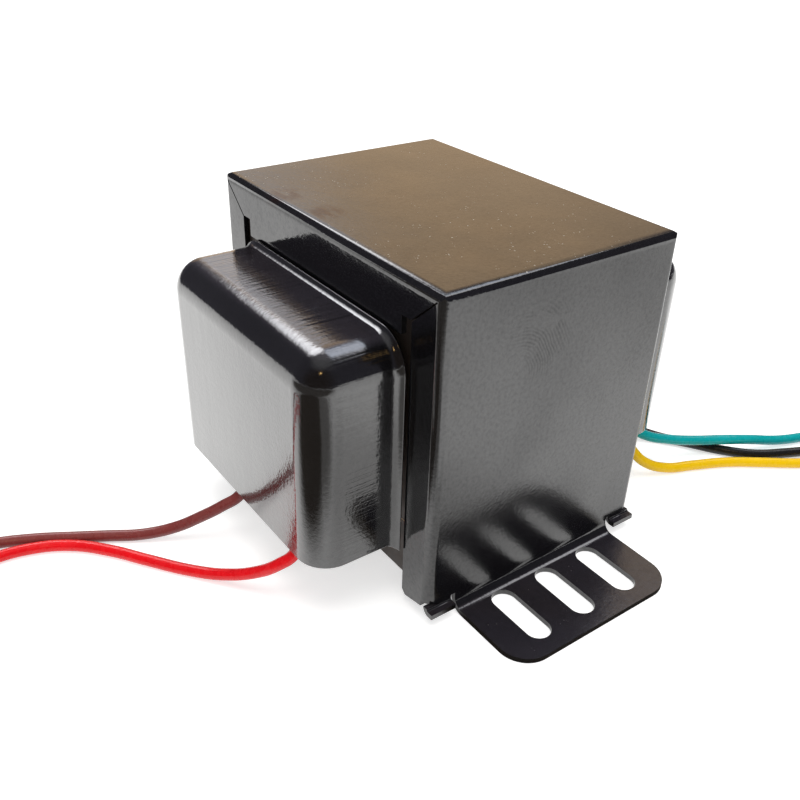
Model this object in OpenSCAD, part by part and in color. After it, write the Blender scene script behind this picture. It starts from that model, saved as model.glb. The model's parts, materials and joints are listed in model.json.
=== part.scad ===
// Audio output transformer: an EI core and its coil, held in a folded steel
// channel frame, with a drawn bell over each end of the coil and flying leads.
// Millimetres. X runs across the two feet, -Y is the front, Z is up, and the
// origin is on the mounting surface, under the middle of the frame.

/* [Core] */
// Width of the centre leg
tongue_w = 22; // [18:1:28]
// Width of each outer leg
leg_w = 11; // [9:0.5:14]
// Width of each winding window
window_w = 11; // [10:0.5:14]
// Height of the winding windows
window_h = 33; // [30:1:40]
// Height of the yoke at the top and of the I bar at the bottom
yoke_h = 11; // [9:0.5:14]
// Thickness of the stack of laminations
stack_d = 48.2; // [42:0.2:58]
// Air gap between the E and the I laminations, filled with paper
gap_t = 0.2; // [0.1:0.05:0.4]

/* [Frame] */
// Thickness of the frame's sheet
sheet_t = 1; // [0.8:0.1:1.4]
// Outer radius of the folds at the top and at the lips
fold_r = 1.8; // [1.6:0.1:2.4]
// Height of the core above the mounting surface
core_lift = 5.3; // [4.2:0.1:8]
// Room between a bell and the edge of the lips beside it
lip_gap = 1.1; // [0.6:0.1:1.4]
// Room between a bell and the edge of the lip above it
top_lip_gap = 0.6; // [0.2:0.1:1.5]
// Height of the lower ends of the side lips
lip_end_z = 1.8; // [1.4:0.1:2.4]
// Cut across the lower inner corner of the side lips
lip_corner = 0.9; // [0.4:0.1:1.4]
// Rise of the lower edge of the side lips towards the corner fold
lip_rise = 1; // [0.2:0.1:1.2]
// Width of the open mitre between the lips
mitre_gap = 0.3; // [0.2:0.1:0.6]
// Width of the relief notch at the inner end of a mitre
mitre_notch_w = 2.6; // [1.5:0.1:3.5]
// Height of the relief notch at the inner end of a mitre
mitre_notch_h = 3.3; // [2:0.1:4]

/* [Feet] */
// Reach of a foot beyond the side of the frame
foot_reach = 17.6; // [17:0.1:24]
// Width of a foot along Y
foot_w = 37.8; // [34:0.2:39]
// Radius of the outer corners of a foot
foot_corner_r = 5.5; // [2:0.5:7]
// Radius inside the fold from the side into the foot
foot_fold_r = 2; // [1.5:0.1:2.6]
// Width of the mounting slots
slot_w = 4.8; // [4:0.1:6.5]
// Length of the mounting slots, end to end
slot_l = 13.2; // [9:0.1:15.6]
// Distance from the side of the frame to the slots
slot_start = 1.5; // [1.2:0.1:2]
// Distance between neighbouring slots
slot_pitch = 10.5; // [9:0.1:11.4]
// Height of the lower face of the stub tabs beside the feet
tab_z = 1.9; // [1.5:0.1:2.3]
// Reach of a stub tab beyond the side of the frame
tab_reach = 1.4; // [1:0.1:2]
// Radius inside the fold from the side into a stub tab
tab_fold_r = 0.4; // [0.2:0.1:0.6]
// Width of the slit between a stub tab and the foot
slit_w = 0.9; // [0.5:0.1:1.2]
// Height of the slits and of the relief at the corners
relief_z = 3.9; // [3.8:0.1:4.4]
// Length of the relief over the free end of a stub tab, along Y
relief_l = 2.2; // [1.8:0.1:3]

/* [Bells] */
// Thickness of the bells' sheet
bell_t = 0.8; // [0.5:0.1:1]
// Outer width of a bell
bell_w = 51.3; // [49:0.1:54]
// How far a bell reaches above the winding windows
bell_rise = 1.6; // [1.2:0.1:4]
// Height of the open lower edge of a bell
bell_bottom_z = 12.9; // [11:0.1:14]
// How far a bell stands out from the lips
bell_d = 16.9; // [16.4:0.1:22]
// Outer radius of the drawn edges
bell_r = 5.8; // [3:0.1:8]
// Width of the flange outside the drawn walls
flange_w = 1.8; // [1.7:0.1:2.2]
// How far the flange reaches below the walls
flange_drop = 1.6; // [0.4:0.1:1.8]
// Radius where the walls run out into the flange
flange_fillet_r = 1.5; // [0.8:0.1:1.6]
// Radius of the flange's lower corners
flange_corner_r = 0.6; // [0.4:0.1:0.8]

/* [Coil] */
// Sliding room between the bobbin and the centre leg
bobbin_gap = 0.15; // [0.1:0.05:0.3]
// Wall of the bobbin's tube
bobbin_wall = 1.2; // [0.8:0.1:1.6]
// Thickness of the bobbin's flanges
bobbin_flange_t = 1.2; // [0.8:0.1:1.8]
// Room between the bobbin and the top of the window
bobbin_top_gap = 0.4; // [0.2:0.1:0.8]
// Radius of the corners of the bobbin's tube
bobbin_corner_r = 0.8; // [0.5:0.1:1.2]
// Room between the coil and the outer legs
leg_gap = 1.9; // [1.5:0.1:2.2]
// Build of the inner primary section
primary_inner_t = 2.4; // [1.5:0.1:2.6]
// Build of the secondary section
secondary_t = 2.2; // [1.5:0.1:2.4]
// Thickness of the insulation between two sections
interleave_t = 0.3; // [0.2:0.05:0.4]
// Thickness of the tape round the coil
wrap_t = 0.5; // [0.3:0.1:0.6]
// Room between the tape and the rims of the bobbin's flanges
wrap_inset = 0.4; // [0.2:0.1:0.6]
// Thickness of the pads over the lead joints
pad_t = 0.7; // [0.4:0.1:0.8]
// Width of the pads over the lead joints
pad_w = 38; // [36:1:39]
// Height of the pads over the lead joints
pad_h = 14; // [10:0.5:18]
// Height of the pads above the lower flange of the bobbin
pad_lift = 1; // [0.5:0.5:4]

/* [Leads] */
// Outer diameter of the lead insulation
lead_d = 2.2; // [1.8:0.1:2.4]
// Diameter of the stripped and tinned wire
tip_d = 1.1; // [0.8:0.1:1.4]
// Length of the stripped and tinned wire
tip_l = 6; // [4:0.5:10]

/* [Hidden] */
$fn = 48;
eps = 0.01;
past = 2;
lead_sides = 8;

core_w = tongue_w + 2 * window_w + 2 * leg_w;
core_h = yoke_h + window_h + gap_t + yoke_h;
core_top_z = core_lift + core_h;
gap_z = core_lift + yoke_h;
window_z = gap_z + gap_t;
window_top_z = window_z + window_h;

frame_w = core_w + 2 * sheet_t;
frame_d = stack_d + 2 * sheet_t;
frame_h = core_top_z + sheet_t;
bell_top_z = window_top_z + bell_rise;
opening_w = bell_w + 2 * lip_gap;
opening_top_z = bell_top_z + top_lip_gap;
side_x = frame_w / 2;
tab_fold_z = tab_z + sheet_t + tab_fold_r;
tab_l = (frame_d - foot_w) / 2 - slit_w;
fold_z = sheet_t + foot_fold_r;
slot_offsets = [-slot_pitch, 0, slot_pitch];

bobbin_h = window_h - bobbin_top_gap;
tube_w = tongue_w + 2 * bobbin_gap + 2 * bobbin_wall;
tube_d = stack_d + 2 * bobbin_gap + 2 * bobbin_wall;
build_t = window_w - leg_gap - bobbin_gap - bobbin_wall - wrap_inset;
primary_outer_t = build_t - primary_inner_t - secondary_t - 2 * interleave_t - wrap_t;
secondary_at = primary_inner_t + interleave_t;
primary_outer_at = secondary_at + secondary_t + interleave_t;
wrap_at = primary_outer_at + primary_outer_t;
coil_front_y = tube_d / 2 + build_t;
pad_z = window_z + bobbin_flange_t + pad_lift;

// Routes of the leads, from the joint pads to the stripped ends
brown_route = [
  [-4.5, -33.5, 24], [-4.5, -34.3, 24], [-4.5, -36.2, 23.6], [-4.5, -37.8, 22.5],
  [-4.5, -38.9, 20.9], [-4.5, -39.3, 19], [-4.3, -39.4, 15.7], [-4.1, -39.2, 12.7],
  [-4.3, -40.5, 10], [-5.5, -43.6, 8], [-7.9, -47, 5.4], [-10.9, -51.4, 2.7], [-14.1, -56.8, 1.3],
  [-17.7, -62.6, 1.1], [-20.7, -67.8, 1.1], [-24.3, -74.2, 1.1], [-27.1, -81, 1.1],
  [-28.5, -88.2, 1.1], [-28.1, -95.4, 1.1], [-25.5, -102.2, 1.1], [-21.1, -107.8, 1.1],
  [-15.3, -112, 1.1], [-8.5, -114.2, 1.1], [-1.5, -114.6, 1.1]
];
red_route = [
  [14.3, -33.5, 24], [14.3, -34.3, 24], [14.3, -36.2, 23.6], [14.3, -37.8, 22.5],
  [14.4, -38.9, 20.9], [14.7, -39.3, 19], [15.3, -39.4, 15.7], [15.8, -39.2, 12.7],
  [15.9, -40.4, 10], [14.5, -42.6, 7.8], [11.1, -45.2, 4.8], [5.9, -49, 2.2], [0.3, -53.2, 1.1],
  [-6.7, -58.6, 1.1], [-12.9, -63.2, 1.1], [-18.5, -68.8, 1.1], [-21.7, -75.2, 1.1],
  [-22.7, -82.4, 1.1], [-21.5, -89.4, 1.1], [-18.3, -96, 1.1], [-13.3, -101.2, 1.1],
  [-7.1, -104.6, 1.1], [-0.1, -106, 1.1]
];
teal_route = [
  [6, 33.5, 24], [6, 34.3, 24], [6, 36.2, 23.6], [6.2, 37.8, 22.5], [6.5, 38.9, 20.9],
  [7.1, 39.3, 19], [8.7, 39.4, 15.7], [10.8, 39.2, 12.7], [13.7, 40.6, 9.9], [17.2, 42.8, 7.7],
  [20.4, 45.8, 5.8], [22.9, 50.3, 4.6], [25.6, 55.8, 3.8], [28.9, 61.9, 3.6], [31.7, 68.4, 2.8],
  [34.3, 75.3, 1.6], [36.4, 82.2, 1.1], [38.4, 89.1, 1.1], [40.2, 96, 1.1], [41.8, 103, 1.1],
  [43.2, 110, 1.1], [44.4, 116, 1.1]
];
black_route = [
  [-4, 33.5, 24], [-4, 34.3, 24], [-4, 36.2, 23.6], [-3.8, 37.8, 22.5], [-3.5, 38.9, 20.9],
  [-2.9, 39.3, 19], [-1.3, 39.4, 15.7], [1.2, 39.2, 12.7], [4.5, 41.3, 9.5], [8.5, 44.8, 6.4],
  [12.8, 48.7, 3.4], [17.4, 53.3, 1.4], [23.3, 57.8, 1.1], [29.5, 61.9, 1.1], [34.6, 66.7, 1.1],
  [38.2, 73.1, 1.1], [41.2, 79.8, 1.1], [43.8, 86.5, 1.1], [46.2, 93.3, 1.1], [48.4, 100.1, 1.1],
  [50.4, 107, 1.1], [52.2, 113.9, 1.1]
];
yellow_route = [
  [15, 33.5, 24], [15, 34.3, 24], [15, 36.2, 23.6], [15, 37.8, 22.5], [15.2, 38.8, 20.9],
  [15.7, 39.1, 19], [17.2, 38.7, 15.7], [19.2, 37.9, 12.5], [21.2, 37.3, 9.2], [23.1, 38.5, 5.8],
  [25.1, 41.1, 3], [27.3, 45.4, 1.4], [29.6, 51.3, 1.1], [33.1, 58.8, 1.1], [37.5, 65.3, 1.1],
  [42, 71.6, 1.1], [45.7, 78, 1.1], [49, 84.7, 1.1], [52, 91.2, 1.1], [54.8, 97.8, 1.1],
  [57.4, 104.5, 1.1], [59.8, 111.2, 1.1]
];

// Rectangle about the origin with four round corners
module round_rect(w, h, r) {
  square([w - 2 * r, h], center = true);
  square([w, h - 2 * r], center = true);
  for (sx = [-1, 1], sy = [-1, 1])
    translate([sx * (w / 2 - r), sy * (h / 2 - r)]) circle(r = r);
}

// Upright outline from z0 to z1, square below and round at the two top corners
module arch(w, z0, z1, r) {
  translate([-w / 2, z0]) square([w, z1 - r - z0]);
  translate([r - w / 2, z0]) square([w - 2 * r, z1 - z0]);
  for (sx = [-1, 1])
    translate([sx * (w / 2 - r), z1 - r]) circle(r = r);
}

// Outline extruded along Y, with its height along Z
module along_y(length) {
  rotate([90, 0, 0]) linear_extrude(length, center = true) children();
}

// Both ends along X, the second one mirrored
module both_sides() {
  children();
  mirror([1, 0, 0]) children();
}

// Both ends along Y, the second one mirrored
module both_ends() {
  children();
  mirror([0, 1, 0]) children();
}

// Folded cover with round outer edges, from the fold of the feet to the top
module folded_block() {
  intersection() {
    translate([0, 0, fold_z]) linear_extrude(frame_h - fold_z) round_rect(frame_w, frame_d, fold_r);
    along_y(frame_d) arch(frame_w, fold_z, frame_h, fold_r);
    rotate([0, 0, 90]) along_y(frame_w) arch(frame_d, fold_z, frame_h, fold_r);
  }
}

// Slit along the mitre of the upper right lip corner, with the notch at its inner end
module mitre_cut() {
  inner_x = opening_w / 2;
  rise = frame_h - opening_top_z - mitre_notch_h;
  reach = side_x - inner_x;
  translate([inner_x, 0, opening_top_z + mitre_notch_h])
    rotate([0, -atan2(rise, reach), 0])
    translate([-mitre_gap, -frame_d / 2 - past, -mitre_gap / 2])
    cube([norm([rise, reach]) - fold_r, sheet_t + past, mitre_gap]);
  translate([inner_x - mitre_notch_w, -frame_d / 2 - past, opening_top_z - past])
    cube([mitre_notch_w, sheet_t + past, mitre_notch_h + past]);
}

// Section of a fold from the right side outwards, down to a lower face at height z
module fold_section(r, z) {
  size = r + sheet_t;
  translate([side_x + r, z + size]) intersection() {
    difference() {
      circle(r = size);
      circle(r = r);
    }
    translate([-size, -size]) square(size);
  }
}

// Flat of the right foot, with two round outer corners
module foot_flat() {
  start_x = side_x + foot_fold_r;
  end_x = side_x + foot_reach;
  linear_extrude(sheet_t) {
    translate([start_x, -foot_w / 2]) square([end_x - foot_corner_r - start_x, foot_w]);
    translate([start_x, foot_corner_r - foot_w / 2])
      square([end_x - start_x, foot_w - 2 * foot_corner_r]);
    for (sy = [-1, 1])
      translate([end_x - foot_corner_r, sy * (foot_w / 2 - foot_corner_r)]) circle(r = foot_corner_r);
  }
}

// Mounting slot of the right foot, through the flat and the start of the fold
module slot_cut() {
  half_run = (slot_l - slot_w) / 2;
  translate([side_x + slot_start + slot_l / 2, 0, -past]) linear_extrude(fold_z + past) {
    square([2 * half_run, slot_w], center = true);
    for (sx = [-1, 1]) translate([sx * half_run, 0]) circle(d = slot_w);
  }
}

// Right foot with its fold and slots
module foot() {
  difference() {
    union() {
      foot_flat();
      along_y(foot_w) fold_section(foot_fold_r, 0);
    }
    for (y = slot_offsets) translate([0, y, 0]) slot_cut();
  }
}

// Section of a stub tab: the lower end of the side, its fold and the short flat
module tab_section() {
  translate([side_x - sheet_t, tab_fold_z]) square([sheet_t, relief_z + sheet_t - tab_fold_z]);
  fold_section(tab_fold_r, tab_z);
  translate([side_x + tab_fold_r, tab_z]) square([tab_reach - tab_fold_r, sheet_t]);
}

// Short tabs folded out at both ends of the right foot, free under the corner folds
module stub_tabs() {
  both_ends() difference() {
    translate([0, (tab_l - frame_d) / 2, 0]) along_y(tab_l) tab_section();
    translate([side_x - sheet_t - past, -frame_d / 2 - past, tab_fold_z])
      cube([sheet_t + 2 * past, past + relief_l, relief_z]);
  }
}

// Lower end of the right front lip, cut across its inner corner and rising to the corner fold
module lip_end() {
  inner_x = opening_w / 2;
  translate([0, sheet_t / 2 - frame_d / 2, 0]) along_y(sheet_t) polygon([
    [inner_x, relief_z], [inner_x, lip_end_z + lip_corner], [inner_x + lip_corner, lip_end_z],
    [side_x - fold_r, lip_end_z + lip_rise], [side_x - fold_r, relief_z]
  ]);
}

// Reliefs at the lower edge of the right side, from its foot to the corner folds
module lower_reliefs() {
  both_ends() translate([side_x - fold_r, -frame_d / 2 - past, -past])
    cube([fold_r + past, (frame_d - foot_w) / 2 + past, relief_z + past]);
}

module channel_frame() {
  color([0.05, 0.05, 0.055]) {
    difference() {
      folded_block();
      translate([-core_w / 2, -stack_d / 2, fold_z - past])
        cube([core_w, stack_d, core_top_z - fold_z + past]);
      translate([-opening_w / 2, -frame_d / 2 - past, fold_z - past])
        cube([opening_w, frame_d + 2 * past, opening_top_z - fold_z + past]);
      both_ends() both_sides() mitre_cut();
      both_sides() lower_reliefs();
    }
    both_sides() {
      foot();
      stub_tabs();
      both_ends() lip_end();
    }
  }
}

// Block with drawn round edges at the top and front; its back is at y = 0
module drawn_block(w, z0, z1, d, r) {
  x = w / 2 - r;
  y = r - d;
  z = z1 - r;
  translate([-w / 2, y, z0]) cube([w, -y, z - z0]);
  translate([-x, -d, z0]) cube([2 * x, d, z - z0]);
  translate([-x, y, z0]) cube([2 * x, -y, z1 - z0]);
  translate([-x, y, z]) rotate([0, 90, 0]) cylinder(h = 2 * x, r = r);
  both_sides() {
    translate([x, y, z0]) cylinder(h = z - z0, r = r);
    translate([x, y, z]) rotate([-90, 0, 0]) cylinder(h = -y, r = r);
    translate([x, y, z]) sphere(r = r);
  }
}

// Section of the fillet between a wall and the flange, in the corner of two axes
module fillet_section(r) {
  difference() {
    translate([-eps, -eps]) square(r + eps);
    translate([r, r]) circle(r = r);
  }
}

// Fillet round the top and both sides of a bell, where its walls meet the flange
module flange_fillet(x, z, r) {
  translate([0, -bell_t, 0]) {
    both_sides() {
      translate([x + r, 0, bell_bottom_z]) linear_extrude(z - bell_bottom_z)
        mirror([0, 1]) fillet_section(flange_fillet_r);
      translate([x, 0, z]) rotate([90, 0, 0]) rotate_extrude(angle = 90)
        translate([r, 0]) fillet_section(flange_fillet_r);
    }
    translate([-x, 0, z + r]) rotate([90, 0, 90]) linear_extrude(2 * x)
      mirror([1, 0]) fillet_section(flange_fillet_r);
  }
}

// Flange of a bell, cut off straight below the walls with two small round corners
module flange_plate() {
  w = bell_w + 2 * flange_w;
  r = flange_corner_r;
  z0 = bell_bottom_z - flange_drop;
  translate([0, -bell_t / 2, 0]) along_y(bell_t) {
    arch(w, z0 + r, bell_top_z + flange_w, bell_r + flange_w);
    translate([r - w / 2, z0]) square([w - 2 * r, 2 * r]);
    for (sx = [-1, 1])
      translate([sx * (w / 2 - r), z0 + r]) circle(r = r);
  }
}

// Drawn bell whose flange lies on the plane y = 0 and whose face looks along -Y
module bell() {
  color([0.07, 0.07, 0.075]) difference() {
    union() {
      drawn_block(bell_w, bell_bottom_z, bell_top_z, bell_d, bell_r);
      flange_plate();
      flange_fillet(bell_w / 2 - bell_r, bell_top_z - bell_r, bell_r);
    }
    translate([0, past, 0])
      drawn_block(bell_w - 2 * bell_t, bell_bottom_z - flange_drop - past, bell_top_z - bell_t,
        bell_d - bell_t + past, bell_r - bell_t);
  }
}

module front_bell() {
  translate([0, -frame_d / 2, 0]) bell();
}

module rear_bell() {
  rotate([0, 0, 180]) translate([0, -frame_d / 2, 0]) bell();
}

module e_stack() {
  color([0.36, 0.31, 0.26]) translate([0, 0, window_z]) along_y(stack_d) difference() {
    translate([-core_w / 2, 0]) square([core_w, window_h + yoke_h]);
    for (sx = [-1, 1])
      translate([sx * (tongue_w + window_w) / 2 - window_w / 2, -past]) square([window_w, window_h + past]);
  }
}

module i_stack() {
  color([0.36, 0.31, 0.26]) translate([-core_w / 2, -stack_d / 2, core_lift])
    cube([core_w, stack_d, yoke_h]);
}

module gap_paper() {
  color([0.74, 0.62, 0.42]) translate([-core_w / 2, -stack_d / 2, gap_z])
    cube([core_w, stack_d, gap_t]);
}

// Ring round the bobbin's tube between its flanges, from one build to another
module coil_ring(from_t, to_t) {
  translate([0, 0, window_z + bobbin_flange_t]) linear_extrude(bobbin_h - 2 * bobbin_flange_t)
    difference() {
      round_rect(tube_w + 2 * to_t, tube_d + 2 * to_t, bobbin_corner_r + to_t);
      round_rect(tube_w + 2 * from_t, tube_d + 2 * from_t, bobbin_corner_r + from_t);
    }
}

module bobbin() {
  rim = build_t + wrap_inset;
  color([0.85, 0.82, 0.72]) translate([0, 0, window_z]) difference() {
    union() {
      linear_extrude(bobbin_h) round_rect(tube_w, tube_d, bobbin_corner_r);
      for (z = [0, bobbin_h - bobbin_flange_t])
        translate([0, 0, z]) linear_extrude(bobbin_flange_t)
          round_rect(tube_w + 2 * rim, tube_d + 2 * rim, bobbin_corner_r + rim);
    }
    translate([-tongue_w / 2 - bobbin_gap, -stack_d / 2 - bobbin_gap, -past])
      cube([tongue_w + 2 * bobbin_gap, stack_d + 2 * bobbin_gap, bobbin_h + 2 * past]);
  }
}

module primary_inner() {
  color([0.72, 0.36, 0.16]) coil_ring(0, primary_inner_t);
}

module interleave_inner() {
  color([0.78, 0.66, 0.42]) coil_ring(primary_inner_t, secondary_at);
}

module secondary_winding() {
  color([0.76, 0.4, 0.18]) coil_ring(secondary_at, secondary_at + secondary_t);
}

module interleave_outer() {
  color([0.78, 0.66, 0.42]) coil_ring(secondary_at + secondary_t, primary_outer_at);
}

module primary_outer() {
  color([0.72, 0.36, 0.16]) coil_ring(primary_outer_at, wrap_at);
}

module outer_wrap() {
  color([0.8, 0.7, 0.4]) coil_ring(wrap_at, build_t);
}

// Insulation over the lead joints, flat on the front of the coil
module joint_pad() {
  color([0.82, 0.74, 0.5]) translate([-pad_w / 2, -coil_front_y - pad_t, pad_z])
    cube([pad_w, pad_t, pad_h]);
}

module front_joint_pad() {
  joint_pad();
}

module rear_joint_pad() {
  mirror([0, 1, 0]) joint_pad();
}

function unit(v) = v / norm(v);
function heading(path, i) =
  unit(path[min(i + 1, len(path) - 1)] - path[max(i - 1, 0)]);
// Side vector at each point, carried along the path without twist
function carried(path, i) =
  let (t = heading(path, i), s = i == 0 ? [1, 0, 0] : carried(path, i - 1))
  unit(s - (s * t) * t);
function ring(path, i, d) =
  let (t = heading(path, i), a = carried(path, i), b = cross(t, a))
  [for (k = [0:lead_sides - 1])
    path[i] + d / 2 * (cos(360 * k / lead_sides) * a + sin(360 * k / lead_sides) * b)];

// Round lead swept along a route, with flat ends
module lead(path) {
  n = lead_sides;
  last = len(path) - 1;
  points = [for (i = [0:last]) each ring(path, i, lead_d)];
  walls = [for (i = [0:last - 1], k = [0:n - 1])
    [i * n + k, i * n + (k + 1) % n, (i + 1) * n + (k + 1) % n, (i + 1) * n + k]];
  start_face = [[for (k = [0:n - 1]) n - 1 - k]];
  end_face = [[for (k = [0:n - 1]) last * n + k]];
  polyhedron(points, concat([for (w = walls) [w[3], w[2], w[1], w[0]]],
    [for (f = start_face) [for (k = [0:n - 1]) f[n - 1 - k]]],
    [for (f = end_face) [for (k = [0:n - 1]) f[n - 1 - k]]]), convexity = 6);
}

// Stripped and tinned wire at the far end of a route, in line with it
module lead_tip(path) {
  t = heading(path, len(path) - 1);
  color([0.75, 0.75, 0.76]) translate(path[len(path) - 1])
    rotate([0, 90, atan2(t[1], t[0])]) cylinder(h = tip_l, d = tip_d);
}

module brown_lead() { color([0.45, 0.2, 0.18]) lead(brown_route); }
module red_lead() { color([0.85, 0.06, 0.05]) lead(red_route); }
module teal_lead() { color([0, 0.5, 0.5]) lead(teal_route); }
module black_lead() { color([0.04, 0.04, 0.04]) lead(black_route); }
module yellow_lead() { color([0.98, 0.72, 0.02]) lead(yellow_route); }

module brown_tip() { lead_tip(brown_route); }
module red_tip() { lead_tip(red_route); }
module teal_tip() { lead_tip(teal_route); }
module black_tip() { lead_tip(black_route); }
module yellow_tip() { lead_tip(yellow_route); }

channel_frame();
front_bell();
rear_bell();
e_stack();
i_stack();
gap_paper();
bobbin();
primary_inner();
interleave_inner();
secondary_winding();
interleave_outer();
primary_outer();
outer_wrap();
front_joint_pad();
rear_joint_pad();
brown_lead();
red_lead();
teal_lead();
black_lead();
yellow_lead();
brown_tip();
red_tip();
teal_tip();
black_tip();
yellow_tip();
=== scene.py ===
"""Looks of an audio output transformer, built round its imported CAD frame.

Lengths in the dataclasses are millimetres in the part's own frame: X runs
across the feet, -Y is the front with the brown and red leads, and Z is up.
Angles are degrees, and the scale of a pattern is per metre.
"""

import json
import logging
import math
from dataclasses import dataclass
from enum import Enum

import bmesh
import bpy
from mathutils import Matrix, Vector

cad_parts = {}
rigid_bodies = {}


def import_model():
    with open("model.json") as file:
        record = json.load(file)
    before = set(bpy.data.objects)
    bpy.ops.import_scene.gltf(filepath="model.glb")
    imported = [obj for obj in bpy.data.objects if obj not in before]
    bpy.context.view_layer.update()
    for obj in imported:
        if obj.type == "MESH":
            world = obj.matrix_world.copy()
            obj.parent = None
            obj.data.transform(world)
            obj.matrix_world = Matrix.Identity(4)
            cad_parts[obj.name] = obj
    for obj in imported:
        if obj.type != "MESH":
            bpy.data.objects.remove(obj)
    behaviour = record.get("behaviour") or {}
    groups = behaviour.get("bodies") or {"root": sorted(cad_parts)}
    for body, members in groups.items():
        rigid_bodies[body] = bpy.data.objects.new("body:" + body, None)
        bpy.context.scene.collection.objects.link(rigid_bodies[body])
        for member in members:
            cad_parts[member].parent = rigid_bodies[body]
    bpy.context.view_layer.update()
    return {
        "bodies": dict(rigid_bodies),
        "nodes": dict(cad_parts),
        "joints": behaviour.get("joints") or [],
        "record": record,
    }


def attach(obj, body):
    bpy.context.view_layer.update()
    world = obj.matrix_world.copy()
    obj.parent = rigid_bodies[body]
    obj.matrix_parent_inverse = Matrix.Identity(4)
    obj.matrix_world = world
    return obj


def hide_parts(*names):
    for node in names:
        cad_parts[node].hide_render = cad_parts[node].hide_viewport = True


Point = tuple[float, float, float]
Colour = tuple[float, float, float]
Span = tuple[float, float]
Socket = bpy.types.NodeSocket

LOG = logging.getLogger("audio_transformer")
MM = 0.001
BODY = "root"
WHITE: Colour = (1.0, 1.0, 1.0)
# Two points that are closer than this, in metres, are one.
SAME_PLACE = 1e-6
# A normal with at least this share along an axis faces that way.
FACING = 0.9
# Radians that a Wave texture of scale 1 turns through in a metre.
WAVE_TURN = 20.0
# Vector operations that give a number.
NUMBER_OPERATIONS = ("DISTANCE", "DOT_PRODUCT", "LENGTH")


def metres(point: Point) -> Vector:
    """Gives a point in millimetres as a vector in metres."""
    return Vector(point) * MM


@dataclass(frozen=True)
class Pattern:
    """Noise whose values from low to high are mapped smoothly onto start to end."""

    scale: float | Point
    detail: float = 2.0
    roughness: float = 0.5
    low: float = 0.3
    high: float = 0.7
    start: float = 0.0
    end: float = 1.0


@dataclass(frozen=True)
class Spot:
    """Soft round spot, full up to one distance from its middle and gone at another."""

    at: Point
    inner: float
    outer: float
    most: float = 1.0


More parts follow.
